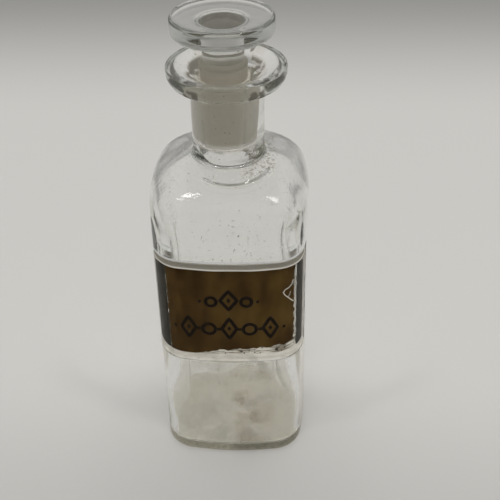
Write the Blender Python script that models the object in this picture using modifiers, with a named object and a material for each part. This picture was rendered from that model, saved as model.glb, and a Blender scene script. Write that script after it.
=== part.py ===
"""Square pharmacy bottle with a ground glass stopper and a label under glass.

The bottle is one blown piece: a square body with rounded corners and crowned faces, a rounded
shoulder, a round neck and a flared lip. A shallow recess is moulded across the front face and both
front corners. In it lie the painted label, a bent cover glass that finishes flush with the body,
and the bead of cement that seals the glass all round. The disc-headed stopper sits in the neck's
ground bore, which was finished by hand and stands a little off the neck's centre line.

Metres, +Z up, front face towards -Y. The origin is the centre of the base's standing ring.
"""

import math

import bmesh
import bpy

# Body
BODY_WIDTH = 0.0616  # across the crowns of two opposite faces
BODY_HEIGHT = 0.1345  # to the top of the shoulder, where the neck starts
CORNER_RADIUS = 0.013
FACE_RADIUS = 0.113  # the large radius that each face is crowned with
WALL = 0.0032
BASE_EDGE_RADIUS = 0.0025
STANDING_RING_WIDTH = 0.0093  # at the middle of each face
PUSH_UP_HEIGHT = 0.0010
FLOOR_THICKNESS = 0.0016  # glass between the push-up's top and the cavity floor
CAVITY_EDGE_RADIUS = 0.0025

# Shoulder, neck and lip
SHOULDER_HEIGHT = 0.0160
SHOULDER_WALL = 0.0033
NECK_LENGTH = 0.0271  # from the shoulder to the lip's underside
NECK_RADIUS = 0.0136
NECK_FILLET = 0.0015
LIP_FLARE = 0.0084  # how far the lip stands out from the neck
LIP_UNDERCUT = 0.0056  # height over which its underside curves out
LIP_EDGE_HEIGHT = 0.0026
LIP_EDGE_ROUND = 0.0007
LIP_RING_WIDTH = 0.0029
DISH_DEPTH = 0.0050

# Stopper and its ground bore
STOPPER_OFFSET = -0.0010  # of the bore's axis from the neck's, along X
PLUG_RADIUS = 0.00885  # at its top
PLUG_STAND = 0.0006  # of the plug's top above the lip
PLUG_LENGTH = 0.0294
PLUG_TAPER = 0.05  # loss of radius for each metre of length
PLUG_SHOULDER = 0.0017
PLUG_CLEARANCE = 0.0003
BORE_RUN_OUT = 0.0012  # how far the bore goes on below the plug
BORE_RELIEF = 0.0016  # step out to the clear neck below the bore
SHANK_INSET = 0.00115  # of the shank from the plug's top
SHANK_LENGTH = 0.0111
SHANK_FILLET = 0.0022
HEAD_THICKNESS = 0.0067
HEAD_RADIUS = 0.0187
HEAD_TOP_ROUND = 0.0013
HEAD_BOTTOM_ROUND = 0.0014

# Label recess and what lies in it
RECESS_BOTTOM = 0.0537
RECESS_BELOW_SHOULDER = 0.0159  # of the recess's top below where the shoulder starts
COVER_SIDE_REACH = 0.0017  # of the cover glass past each front corner, along the side
COVER_THICKNESS = 0.0020
CEMENT_ABOVE = 0.0031  # width of the cement on each side of the cover glass
CEMENT_BELOW = 0.0023
CEMENT_ENDS = 0.0025
CEMENT_SINK = 0.0002  # of the cement below the body's surface
LABEL_THICKNESS = 0.0003
LABEL_MARGIN = 0.0002  # of the label inside the cover glass, all round
GAP = 0.0003  # between pieces that touch
CUT_MARGIN = 0.0020  # of a cutter beyond the surface that it cuts
BULGE_FADE = 0.013  # height over which the cavity wall steps in behind the recess
BULGE_END_TURN = math.radians(12)  # the same past each end of the recess, about the axis

# Facets
COLUMNS = 48
BAND_STEPS = 30
STOPPER_STEPS = 40

HALF = BODY_WIDTH / 2
CAVITY_FLOOR = PUSH_UP_HEIGHT + FLOOR_THICKNESS
PUSH_UP_RADIUS = HALF - BASE_EDGE_RADIUS - STANDING_RING_WIDTH
SHOULDER_START = BODY_HEIGHT - SHOULDER_HEIGHT
CAVITY_TOP = BODY_HEIGHT - SHOULDER_WALL
LIP_TOP = BODY_HEIGHT + NECK_LENGTH + LIP_UNDERCUT + LIP_EDGE_HEIGHT
LIP_RADIUS = NECK_RADIUS + LIP_FLARE
PLUG_TOP = LIP_TOP + PLUG_STAND
PLUG_BOTTOM = PLUG_TOP - PLUG_LENGTH
BORE_BOTTOM = PLUG_BOTTOM - BORE_RUN_OUT
SHANK_RADIUS = PLUG_RADIUS - SHANK_INSET
HEAD_BOTTOM = PLUG_TOP + SHANK_LENGTH
RECESS_TOP = SHOULDER_START - RECESS_BELOW_SHOULDER
RECESS_DEPTH = COVER_THICKNESS + LABEL_THICKNESS + 2 * GAP
COVER_BOTTOM = RECESS_BOTTOM + CEMENT_BELOW
COVER_TOP = RECESS_TOP - CEMENT_ABOVE
FRONT = -math.pi / 2


def corner_centre(half):
    """Distance c so that a corner arc about (c, c) meets the crowned face's arc smoothly."""
    face_offset = FACE_RADIUS - half
    reach = FACE_RADIUS - CORNER_RADIUS
    return (-face_offset + math.sqrt(2 * reach**2 - face_offset**2)) / 2


CORNER_CENTRE = corner_centre(HALF)
FACE_TURN = math.atan2(CORNER_CENTRE, CORNER_CENTRE + FACE_RADIUS - HALF)
CORNER_TURN = math.pi / 2 - 2 * FACE_TURN
CORNER_END = FACE_RADIUS * FACE_TURN + CORNER_RADIUS * CORNER_TURN  # from the front's middle
COVER_WIDTH = 2 * (CORNER_END + COVER_SIDE_REACH)  # followed along the wall
RECESS_WIDTH = COVER_WIDTH + 2 * CEMENT_ENDS


def section_radius(angle, inset=0.0):
    """Distance from the axis to the body's rounded square, set in by inset, along a polar angle."""
    folded = abs((angle + math.pi / 4) % (math.pi / 2) - math.pi / 4)
    face_end = math.atan2(
        CORNER_CENTRE + (CORNER_RADIUS - inset) * math.sin(FACE_TURN),
        CORNER_CENTRE + (CORNER_RADIUS - inset) * math.cos(FACE_TURN),
    )
    if folded <= face_end:
        offset, radius = FACE_RADIUS - HALF, FACE_RADIUS - inset
        across = offset * math.sin(folded)
        return math.sqrt(radius**2 - across**2) - offset * math.cos(folded)
    along = CORNER_CENTRE * (math.cos(folded) + math.sin(folded))
    across = CORNER_CENTRE * (math.cos(folded) - math.sin(folded))
    return along + math.sqrt((CORNER_RADIUS - inset) ** 2 - across**2)


def section_point(turn, inset):
    """Point of the body's rounded square, set in by inset, where its normal has the given turn."""
    quarter = round(turn / (math.pi / 2)) * math.pi / 2
    local = turn - quarter
    if abs(local) <= FACE_TURN:
        x = HALF - FACE_RADIUS + (FACE_RADIUS - inset) * math.cos(local)
        y = (FACE_RADIUS - inset) * math.sin(local)
    else:
        x = CORNER_CENTRE + (CORNER_RADIUS - inset) * math.cos(local)
        y = math.copysign(CORNER_CENTRE, local) + (CORNER_RADIUS - inset) * math.sin(local)
    return (
        x * math.cos(quarter) - y * math.sin(quarter),
        x * math.sin(quarter) + y * math.cos(quarter),
    )


def wall_turn(length):
    """Turn of the wall's normal away from the front, at a length followed along the outside."""
    on_face = min(length, FACE_RADIUS * FACE_TURN)
    on_corner = min(length - on_face, CORNER_RADIUS * CORNER_TURN)
    on_side = length - on_face - on_corner
    return (on_face + on_side) / FACE_RADIUS + on_corner / CORNER_RADIUS


def smooth_step(value):
    value = min(max(value, 0.0), 1.0)
    return value * value * (3 - 2 * value)


def column_angles():
    return [2 * math.pi * column / COLUMNS for column in range(COLUMNS)]


def square_ring(z, inset):
    rim = [(section_radius(angle, inset), angle) for angle in column_angles()]
    return [(r * math.cos(a), r * math.sin(a), z) for r, a in rim]


def round_ring(z, radius, offset=0.0):
    return [
        (offset + radius * math.cos(a), radius * math.sin(a), z) for a in column_angles()
    ]


def shoulder_rings(inset, start, top, end_radius, count):
    """Quarter ellipse from the wall up to the neck, while the section turns from square to round."""
    rings = []
    for step in range(1, count + 1):
        rise = math.sin(math.pi / 2 * step / count)
        half = end_radius + (HALF - inset - end_radius) * math.sqrt(max(0.0, 1 - rise**2))
        roundness = rise**2
        ring = []
        for angle in column_angles():
            square = section_radius(angle, inset) / (HALF - inset)
            radius = half * (square + (1 - square) * roundness)
            height = start + (top - start) * rise
            ring.append((radius * math.cos(angle), radius * math.sin(angle), height))
        rings.append(ring)
    return rings


def underside_rings():
    """Hollow push-up, flat standing ring and rounded edge, from the centre outwards."""
    rings = []
    for share in (0.35, 0.7, 1.0):
        rings.append(round_ring(PUSH_UP_HEIGHT * (1 - share**2), PUSH_UP_RADIUS * share))
    for step in range(4):
        turn = math.pi / 2 * step / 3
        rings.append(
            square_ring(
                BASE_EDGE_RADIUS * (1 - math.cos(turn)),
                BASE_EDGE_RADIUS * (1 - math.sin(turn)),
            )
        )
    return rings


def lip_rings():
    """Neck, the lip's curved underside, its rounded edge, the flat rim ring and the dish."""
    underside = LIP_TOP - LIP_EDGE_HEIGHT
    neck_top = BODY_HEIGHT + NECK_LENGTH
    rings = []
    for step in range(1, 4):
        turn = math.pi / 2 * step / 3
        radius = NECK_RADIUS + NECK_FILLET * (1 - math.sin(turn))
        rings.append(round_ring(BODY_HEIGHT + NECK_FILLET * (1 - math.cos(turn)), radius))
    rings.append(round_ring(neck_top - NECK_FILLET, NECK_RADIUS))
    for step in range(6):
        turn = math.pi / 2 * step / 5
        radius = NECK_RADIUS + (LIP_RADIUS - NECK_RADIUS) * math.sin(turn)
        radius = max(radius, NECK_RADIUS + NECK_FILLET)
        rings.append(round_ring(underside - LIP_UNDERCUT * math.cos(turn), radius))
    for step in range(3):
        turn = math.pi / 2 * step / 2
        radius = LIP_RADIUS - LIP_EDGE_ROUND * (1 - math.cos(turn))
        rings.append(round_ring(LIP_TOP - LIP_EDGE_ROUND * (1 - math.sin(turn)), radius))
    ring_inner = LIP_RADIUS - LIP_RING_WIDTH
    bore_radius = bore_radius_at(LIP_TOP - DISH_DEPTH)
    for step in range(5):
        share = step / 4
        radius = ring_inner + (bore_radius - ring_inner) * share
        depth = DISH_DEPTH * math.sin(math.pi / 2 * share) ** 2
        rings.append(round_ring(LIP_TOP - depth, radius, STOPPER_OFFSET * share))
    return rings


def plug_radius_at(z):
    return PLUG_RADIUS - PLUG_TAPER * (PLUG_TOP - z)


def bore_radius_at(z):
    return plug_radius_at(z) + PLUG_CLEARANCE


def bore_rings():
    """Ground taper, then the clear neck below it and the rounded edge into the cavity."""
    ground = bore_radius_at(BORE_BOTTOM)
    clear = ground + BORE_RELIEF
    return [
        round_ring(BORE_BOTTOM, ground, STOPPER_OFFSET),
        round_ring(BORE_BOTTOM - GAP, clear, STOPPER_OFFSET),
        round_ring(CAVITY_TOP + NECK_FILLET, clear),
        round_ring(CAVITY_TOP + NECK_FILLET / 3, clear + NECK_FILLET / 2),
    ]


def recess_bulge(angle, z):
    """Share of the recess's depth by which the cavity wall stands in, at a polar angle and height."""
    away = abs((angle - FRONT + math.pi) % (2 * math.pi) - math.pi)
    end_x, end_y = section_point(FRONT + wall_turn(RECESS_WIDTH / 2), 0.0)
    end = math.atan2(end_y, end_x) - FRONT
    across = 1 - smooth_step((away - end) / BULGE_END_TURN)
    below = smooth_step((z - RECESS_BOTTOM) / BULGE_FADE + 1)
    above = smooth_step((RECESS_TOP - z) / BULGE_FADE + 1)
    return across * below * above


def cavity_rings():
    """Inside of the shoulder, walls and floor, from the top down."""
    start = SHOULDER_START - WALL / 2
    mouth = bore_radius_at(BORE_BOTTOM) + BORE_RELIEF + NECK_FILLET
    rings = shoulder_rings(WALL, start, CAVITY_TOP, mouth, 7)[::-1]
    fades = [BULGE_FADE * share for share in (1.0, 0.66, 0.33, 0.0)]
    heights = [start - GAP]
    heights += [RECESS_TOP + fade for fade in fades]
    heights += [(RECESS_TOP + RECESS_BOTTOM) / 2]
    heights += [RECESS_BOTTOM - fade for fade in reversed(fades)]
    for z in heights:
        ring = []
        for angle in column_angles():
            radius = section_radius(angle, WALL) - RECESS_DEPTH * recess_bulge(angle, z)
            ring.append((radius * math.cos(angle), radius * math.sin(angle), z))
        rings.append(ring)
    for step in range(4):
        turn = math.pi / 2 * step / 3
        inset = WALL + CAVITY_EDGE_RADIUS * (1 - math.cos(turn))
        z = CAVITY_FLOOR + CAVITY_EDGE_RADIUS * (1 - math.sin(turn))
        rings.append(square_ring(z, inset))
    return rings


def loft(name, start_pole, rings, end_pole):
    """Closed body through rings of equal length, with a point at each end."""
    mesh = bmesh.new()
    first = mesh.verts.new(start_pole)
    loops = [[mesh.verts.new(point) for point in ring] for ring in rings]
    last = mesh.verts.new(end_pole)
    for column in range(COLUMNS):
        after = (column + 1) % COLUMNS
        mesh.faces.new((first, loops[0][after], loops[0][column]))
        for below, above in zip(loops, loops[1:]):
            mesh.faces.new((below[column], below[after], above[after], above[column]))
        mesh.faces.new((last, loops[-1][column], loops[-1][after]))
    data = bpy.data.meshes.new(name)
    mesh.to_mesh(data)
    mesh.free()
    return bpy.data.objects.new(name, data)


def wall_band(name, width, outer_inset, inner_inset, bottom, top):
    """Strip that follows the body's wall round the front, extruded between two heights."""
    lengths = [width * (step / BAND_STEPS - 0.5) for step in range(BAND_STEPS + 1)]
    turns = [FRONT + math.copysign(wall_turn(abs(length)), length) for length in lengths]
    outline = [section_point(turn, outer_inset) for turn in turns]
    outline += [section_point(turn, inner_inset) for turn in reversed(turns)]
    curve = bpy.data.curves.new(name, "CURVE")
    curve.dimensions = "2D"
    curve.fill_mode = "BOTH"
    curve.extrude = (top - bottom) / 2
    spline = curve.splines.new("POLY")
    spline.points.add(len(outline) - 1)
    for point, (x, y) in zip(spline.points, outline):
        point.co = (x, y, 0.0, 1.0)
    spline.use_cyclic_u = True
    guide = bpy.data.objects.new(name + "_outline", curve)
    bpy.context.scene.collection.objects.link(guide)
    graph = bpy.context.evaluated_depsgraph_get()
    data = bpy.data.meshes.new_from_object(guide.evaluated_get(graph))
    data.name = name
    bpy.data.objects.remove(guide)
    mesh = bmesh.new()
    mesh.from_mesh(data)
    bmesh.ops.remove_doubles(mesh, verts=mesh.verts, dist=1e-6)
    bmesh.ops.recalc_face_normals(mesh, faces=mesh.faces)
    bmesh.ops.translate(mesh, verts=mesh.verts, vec=(0, 0, (top + bottom) / 2))
    mesh.to_mesh(data)
    mesh.free()
    return bpy.data.objects.new(name, data)


def stopper_profile():
    """Outer side of the stopper from the centre of its head down to the centre of its plug."""
    head_top = HEAD_BOTTOM + HEAD_THICKNESS
    points = [(0.0, head_top)]
    for step in range(4):
        turn = math.pi / 2 * step / 3
        points.append(
            (
                HEAD_RADIUS - HEAD_TOP_ROUND * (1 - math.sin(turn)),
                head_top - HEAD_TOP_ROUND * (1 - math.cos(turn)),
            )
        )
    for step in range(4):
        turn = math.pi / 2 * step / 3
        points.append(
            (
                HEAD_RADIUS - HEAD_BOTTOM_ROUND * (1 - math.cos(turn)),
                HEAD_BOTTOM + HEAD_BOTTOM_ROUND * (1 - math.sin(turn)),
            )
        )
    for step in range(4):
        turn = math.pi / 2 * step / 3
        points.append(
            (
                SHANK_RADIUS + SHANK_FILLET * (1 - math.sin(turn)),
                HEAD_BOTTOM - SHANK_FILLET * (1 - math.cos(turn)),
            )
        )
    points.append((SHANK_RADIUS, PLUG_TOP + PLUG_SHOULDER))
    points.append((PLUG_RADIUS, PLUG_TOP))
    points.append((plug_radius_at(PLUG_BOTTOM), PLUG_BOTTOM))
    points.append((0.0, PLUG_BOTTOM))
    return points


def turned(name, profile, steps):
    """Solid of revolution of a profile that lies at +X and runs from top to bottom."""
    data = bpy.data.meshes.new(name)
    edges = [(index, index + 1) for index in range(len(profile) - 1)]
    data.from_pydata([(x, 0.0, z) for x, z in profile], edges, [])
    piece = bpy.data.objects.new(name, data)
    screw = piece.modifiers.new("turn", "SCREW")
    screw.steps = steps
    screw.render_steps = steps
    screw.use_merge_vertices = True
    screw.merge_threshold = 0.00001
    screw.use_smooth_shade = True
    return piece


def cut(piece, cutter):
    boolean = piece.modifiers.new("cut " + cutter.name, "BOOLEAN")
    boolean.operation = "DIFFERENCE"
    boolean.object = cutter


def as_cutter(piece, collection):
    collection.objects.link(piece)
    piece.display_type = "WIRE"
    piece.hide_render = True
    return piece


def material(name, colour, roughness, transmission=0.0, ior=1.52):
    made = bpy.data.materials.new(name)
    made.use_nodes = True
    shader = made.node_tree.nodes["Principled BSDF"]
    shader.inputs["Base Color"].default_value = (*colour, 1.0)
    shader.inputs["Roughness"].default_value = roughness
    shader.inputs["Transmission Weight"].default_value = transmission
    shader.inputs["IOR"].default_value = ior
    return made


def place(piece, collection, finish):
    collection.objects.link(piece)
    piece.data.materials.append(finish)


def shade_smooth(piece, angle):
    piece.data.shade_smooth()
    piece.data.set_sharp_from_angle(angle=math.radians(angle))


def make_bottle(collection, cutters):
    rings = underside_rings()
    rings.append(square_ring(SHOULDER_START, 0.0))
    neck_foot = NECK_RADIUS + NECK_FILLET
    rings += shoulder_rings(0.0, SHOULDER_START, BODY_HEIGHT, neck_foot, 8)
    rings += lip_rings()
    rings += bore_rings()
    rings += cavity_rings()
    bottle = loft("bottle", (0, 0, PUSH_UP_HEIGHT), rings, (0, 0, CAVITY_FLOOR))
    recess = wall_band(
        "label_recess", RECESS_WIDTH, -CUT_MARGIN, RECESS_DEPTH, RECESS_BOTTOM, RECESS_TOP
    )
    cut(bottle, as_cutter(recess, cutters))
    shade_smooth(bottle, 35)
    place(bottle, collection, material("clear flint glass", (0.93, 0.95, 0.92), 0.02, 1.0))
    return bottle


def make_stopper(collection):
    stopper = turned("stopper", stopper_profile(), STOPPER_STEPS)
    stopper.location.x = STOPPER_OFFSET
    place(stopper, collection, material("stopper glass", (0.92, 0.94, 0.91), 0.05, 1.0))
    return stopper


def make_label(collection):
    label_inset = COVER_THICKNESS + GAP
    cover = wall_band(
        "label_glass", COVER_WIDTH, 0.0, COVER_THICKNESS, COVER_BOTTOM, COVER_TOP
    )
    label = wall_band(
        "label",
        COVER_WIDTH - 2 * LABEL_MARGIN,
        label_inset,
        label_inset + LABEL_THICKNESS,
        COVER_BOTTOM + LABEL_MARGIN,
        COVER_TOP - LABEL_MARGIN,
    )
    place(cover, collection, material("cover glass", (0.90, 0.93, 0.89), 0.04, 1.0))
    place(label, collection, material("label paint", (0.060, 0.034, 0.014), 0.45))
    shade_smooth(cover, 35)
    shade_smooth(label, 35)
    return [cover, label]


def make_cement(collection, cutters):
    """Bead that fills the recess round the cover glass, left clear of both by the gap."""
    cement = wall_band(
        "label_cement",
        RECESS_WIDTH - 2 * GAP,
        CEMENT_SINK,
        RECESS_DEPTH - GAP,
        RECESS_BOTTOM + GAP,
        RECESS_TOP - GAP,
    )
    window = wall_band(
        "cover_window",
        COVER_WIDTH + 2 * GAP,
        -CUT_MARGIN,
        RECESS_DEPTH + CUT_MARGIN,
        COVER_BOTTOM - GAP,
        COVER_TOP + GAP,
    )
    cut(cement, as_cutter(window, cutters))
    place(cement, collection, material("cement", (0.55, 0.54, 0.47), 0.8))
    shade_smooth(cement, 35)
    return cement


def main():
    for old in list(bpy.data.objects):
        bpy.data.objects.remove(old)
    parts = bpy.data.collections.new("pharmacy_bottle")
    cutters = bpy.data.collections.new("cutters")
    bpy.context.scene.collection.children.link(parts)
    bpy.context.scene.collection.children.link(cutters)
    make_bottle(parts, cutters)
    make_stopper(parts)
    make_label(parts)
    make_cement(parts, cutters)


main()
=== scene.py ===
"""Looks of an antique square pharmacy bottle: blown glass, ground stopper and label under glass."""

import math

import bpy
import numpy as np
from bpy.props import FloatProperty, FloatVectorProperty, IntProperty, PointerProperty
from mathutils import Matrix, Vector


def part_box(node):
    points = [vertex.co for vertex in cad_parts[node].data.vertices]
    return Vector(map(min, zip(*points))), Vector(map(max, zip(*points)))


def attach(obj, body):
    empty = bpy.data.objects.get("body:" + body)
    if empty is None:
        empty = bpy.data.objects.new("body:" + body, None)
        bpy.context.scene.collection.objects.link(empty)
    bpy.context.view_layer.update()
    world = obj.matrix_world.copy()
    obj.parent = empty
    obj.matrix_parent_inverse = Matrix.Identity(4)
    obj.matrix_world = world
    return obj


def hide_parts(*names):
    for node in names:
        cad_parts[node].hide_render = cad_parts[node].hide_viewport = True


bl_info = {
    "name": "Pharmacy Bottle",
    "version": (1, 0, 0),
    "blender": (4, 5, 0),
    "location": "3D View > Sidebar > Bottle",
    "description": "Builds a square glass bottle with a ground stopper and a label under glass",
    "category": "Add Mesh",
}

FRONT = -math.pi / 2  # the front face looks towards -Y
RIGHT_ANGLE = math.pi / 2
SHARP_ANGLE = math.radians(40)
GLASS_IOR = 1.52
MM = 0.001

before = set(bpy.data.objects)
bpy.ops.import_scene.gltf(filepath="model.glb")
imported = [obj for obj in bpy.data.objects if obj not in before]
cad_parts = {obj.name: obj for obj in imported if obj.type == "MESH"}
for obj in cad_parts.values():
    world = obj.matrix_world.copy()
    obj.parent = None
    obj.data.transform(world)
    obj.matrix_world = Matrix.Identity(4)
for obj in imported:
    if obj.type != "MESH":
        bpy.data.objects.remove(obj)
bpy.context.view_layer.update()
bottle_low, bottle_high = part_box("bottle")
stopper_low, stopper_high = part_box("stopper")
cover_low, cover_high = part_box("label_glass")
label_low, label_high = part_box("label")
cement_low, cement_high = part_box("label_cement")


# ---------------------------------------------------------------- sizes and colours


def size(name, description, default):
    return FloatProperty(
        name=name, description=description, default=default, unit="LENGTH", precision=5
    )


def colour(name, description, default):
    return FloatVectorProperty(
        name=name, description=description, default=default, subtype="COLOR", min=0, max=1
    )


def share(name, description, default):
    return FloatProperty(
        name=name, description=description, default=default, min=0, max=1, subtype="FACTOR"
    )


class BodySizes(bpy.types.PropertyGroup):
    """Sizes of the blown bottle."""

    corner_radius: size("Corner radius", "Outer radius of the body's corners", 0.013)
    face_radius: size("Face radius", "Large radius that each face is crowned with", 0.113)
    wall: size("Wall", "Glass thickness of the walls", 0.0032)
    base_edge: size("Base edge", "Radius of the rounded edge round the base", 0.0025)
    push_up_radius: size("Push-up radius", "Radius of the hollow under the base", 0.019)
    push_up_height: size("Push-up height", "Height of the hollow under the base", 0.0010)
    floor: size("Floor", "Glass between the push-up and the cavity floor", 0.0016)
    cavity_edge: size("Cavity edge", "Radius between the cavity's walls and floor", 0.0025)
    shoulder_start: size("Shoulder start", "Height where the walls turn inwards", 0.1185)
    shoulder_top: size("Shoulder top", "Height where the neck starts", 0.1345)
    shoulder_wall: size("Shoulder wall", "Glass thickness at the top of the shoulder", 0.0033)
    neck_radius: size("Neck radius", "Outer radius of the neck", 0.0136)
    neck_fillet: size("Neck fillet", "Radius where the neck meets the shoulder", 0.0015)
    clear_neck: size("Clear neck", "Inner radius of the neck below the ground bore", 0.0092)
    lip_radius: size("Lip radius", "Outer radius of the flared lip", 0.0220)
    lip_edge: size("Lip edge", "Height of the lip's outer edge", 0.0026)
    lip_round: size("Lip round", "Radius of the edge round the lip's top", 0.0007)
    lip_undercut: size("Lip undercut", "Height of the lip's curved underside", 0.0056)
    lip_ring: size("Lip ring", "Width of the flat ring on the lip", 0.0029)
    dish: size("Dish", "Depth of the dish inside the lip", 0.0050)
    recess_depth: size("Recess depth", "Depth of the moulded label recess", 0.0029)
    recess_edge: size("Recess edge", "Width of the rounded edge round the recess", 0.0004)
    bulge_above: size("Bulge above", "Height over which the wall thins out above it", 0.030)
    bulge_below: size("Bulge below", "Height over which the wall thins out below it", 0.040)
    outer_ripple: size("Outer ripple", "Depth of the hand-made waviness outside", 0.00016)
    inner_ripple: size("Inner ripple", "Depth of the hand-made waviness inside", 0.00055)
    corner_extra: size("Corner extra", "Extra glass in the corners", 0.0011)
    corner_low: size("Corner low", "Height where the corners start to thicken", -0.012)
    corner_high: size("Corner high", "Height where they start to thin again", 0.060)
    film_top: size("Film top", "Height that the dried residue inside reaches", 0.066)
    columns_on_face: IntProperty(
        name="Columns on a face", description="Grid columns across one face", default=24
    )
    columns_on_corner: IntProperty(
        name="Columns on a corner", description="Grid columns round one corner", default=28
    )


class StopperSizes(bpy.types.PropertyGroup):
    """Sizes of the stopper and its ground bore."""

    plug_top: size("Plug top", "Height of the top of the ground plug", 0.1704)
    plug_radius: size("Plug radius", "Radius of the plug at its top", 0.00885)
    taper: share("Taper", "Loss of radius for each unit of length", 0.05)
    fit: size("Fit", "Gap between the plug and its bore, as it looks", 0.00005)
    bore_bottom: size("Bore bottom", "Height where the ground bore ends", 0.1398)
    plug_shoulder: size("Plug shoulder", "Height of the cone above the plug", 0.0017)
    plug_edge: size("Plug edge", "Chamfer round the plug's foot", 0.0006)
    shank_radius: size("Shank radius", "Radius of the clear shank", 0.0077)
    shank_fillet: size("Shank fillet", "Radius between the shank and the head", 0.0022)
    head_thickness: size("Head thickness", "Thickness of the disc head", 0.0067)
    top_round: size("Top round", "Radius of the head's upper edge", 0.0013)
    bottom_round: size("Bottom round", "Radius of the head's lower edge", 0.0014)
    columns: IntProperty(name="Columns", description="Grid columns round it", default=144)


class PanelSizes(bpy.types.PropertyGroup):
    """Sizes of the label panel, with widths followed along the wall."""

    recess_width: size("Recess width", "Width of the moulded recess", 0.0780)
    cover_width: size("Cover width", "Width of the bent cover glass", 0.0730)
    cover_thickness: size("Cover thickness", "Thickness of the cover glass", 0.0020)
    cover_bevel: size("Cover bevel", "Width of the cover glass's worn edge", 0.00025)
    gap: size("Gap", "Space that the pieces in the recess keep", 0.0003)
    bond: size("Bond", "Depth to which paint and cement key into the cover glass", 0.00002)
    label_left: size("Label left", "Left end of the painted label", -0.0262)
    label_thickness: size("Label thickness", "Thickness of the label and its stains", 0.0003)
    ornament_thickness: size("Ornament thickness", "Thickness of the painted ornament", 0.00004)


class GlassLooks(bpy.types.PropertyGroup):
    """Colours and finish of the glass pieces."""

    tint: colour("Tint", "Surface tint of the clear glass", (0.99, 0.99, 0.985))
    depth: colour("Depth colour", "Colour that thick glass takes on", (0.74, 0.775, 0.715))
    stopper_depth: colour("Stopper depth", "Colour that its glass takes on", (0.745, 0.752, 0.735))
    density: FloatProperty(
        name="Density", description="Absorption for each metre of glass", default=12, min=0
    )
    ground: colour("Ground tint", "Tint of the ground glass", (0.90, 0.885, 0.83))
    stain: colour("Stain", "Tint of the residue in the glass", (0.62, 0.52, 0.42))
    ground_roughness: share("Ground roughness", "Roughness of the ground glass", 0.55)
    ground_body: colour("Ground body", "Colour that ground glass scatters", (0.43, 0.40, 0.325))
    ground_cover: share("Ground cover", "Share of light that ground glass scatters", 0.75)
    cover_index: FloatProperty(
        name="Cover index", description="Refractive index of the dull cover", default=1.10, min=1
    )
    haze: share("Haze", "Roughness of the dried residue inside", 0.12)
    # dark of the dirt at the neck's foot, and of the dirt and painted shade in the dish
    grime_and_shade: colour("Grime", "Colour of the grime in the dish and at the neck", (0.075, 0.07, 0.055))
    # olive of the worn standing ring, also painted shade along the base's lowest edge
    wear_and_base_shade: colour("Wear", "Olive of the worn standing ring", (0.30, 0.285, 0.215))
    residue: colour("Residue", "Colour of the dried residue", (0.66, 0.63, 0.54))
    residue_dark: colour("Dark residue", "Colour of its brown patches", (0.27, 0.215, 0.135))


class PanelLooks(bpy.types.PropertyGroup):
    """Colours of the label panel."""

    paint: colour("Paint", "Brown of the label", (0.041, 0.0205, 0.0050))
    paint_light: colour("Light paint", "Brown where the label has faded", (0.105, 0.062, 0.0160))
    ink: colour("Ink", "Near black of the ornament", (0.010, 0.007, 0.005))
    chip: colour("Chip", "Bare ground where paint has come away", (0.62, 0.58, 0.48))
    glue: colour("Glue", "Dried glue below the torn edge", (0.29, 0.26, 0.205))
    # the olive's darkness is also painted shade, where the corners' thick glass lies over the
    # strips
    olive: colour("Olive", "Dark stain along the panel's sides", (0.022, 0.019, 0.011))
    cement: colour("Cement", "Pale cement under the cover glass", (0.84, 0.81, 0.74))
    cement_top: colour("Upper cement", "Darkened cement above the cover", (0.19, 0.175, 0.137))


class StudioSizes(bpy.types.PropertyGroup):
    """Camera, lamps and floor."""

    camera_azimuth: FloatProperty(
        name="Camera azimuth", description="Turn towards +X", default=math.radians(2.83),
        subtype="ANGLE",
    )
    camera_elevation: FloatProperty(
        name="Camera elevation", description="Height above the horizon",
        default=math.radians(35.79), subtype="ANGLE",
    )
    camera_roll: FloatProperty(
        name="Camera roll", description="Turn about the line of sight",
        default=math.radians(-1.053), subtype="ANGLE",
    )
    camera_distance: size("Camera distance", "From the camera to its target", 0.3733)
    camera_target: FloatVectorProperty(
        name="Camera target", description="Point at the middle of the view",
        default=(0.0073, 0.0, 0.0875), subtype="TRANSLATION",
    )
    lens: FloatProperty(name="Lens", description="Focal length in millimetres", default=65.56)
    floor: colour("Floor", "Colour of the floor", (0.60, 0.594, 0.577))
    room: colour("Room", "Colour of the light from above", (0.64, 0.635, 0.622))
    horizon: colour("Horizon", "Colour of the room at the horizon", (0.42, 0.415, 0.40))
    lamp: colour("Lamp", "Colour of the soft lamps", (1.0, 0.985, 0.96))


GROUPS = {
    "body": BodySizes,
    "stopper": StopperSizes,
    "panel": PanelSizes,
    "glass": GlassLooks,
    "panel_looks": PanelLooks,
    "studio": StudioSizes,
}


class PharmacyBottle(bpy.types.PropertyGroup):
    """Everything that can be set on the bottle."""

    body: PointerProperty(type=BodySizes)
    stopper: PointerProperty(type=StopperSizes)
    panel: PointerProperty(type=PanelSizes)
    glass: PointerProperty(type=GlassLooks)
    panel_looks: PointerProperty(type=PanelLooks)
    studio: PointerProperty(type=StudioSizes)


def settings():
    return bpy.context.scene.pharmacy_bottle


# ---------------------------------------------------------------- surfaces


def fade(value):
    """Smooth step: 3 v squared minus 2 v cubed, with v held between 0 and 1."""
    value = np.clip(value, 0, 1)
    return value * value * (3 - 2 * value)


def column(values):
    return np.asarray(values, float)[:, None]


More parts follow.
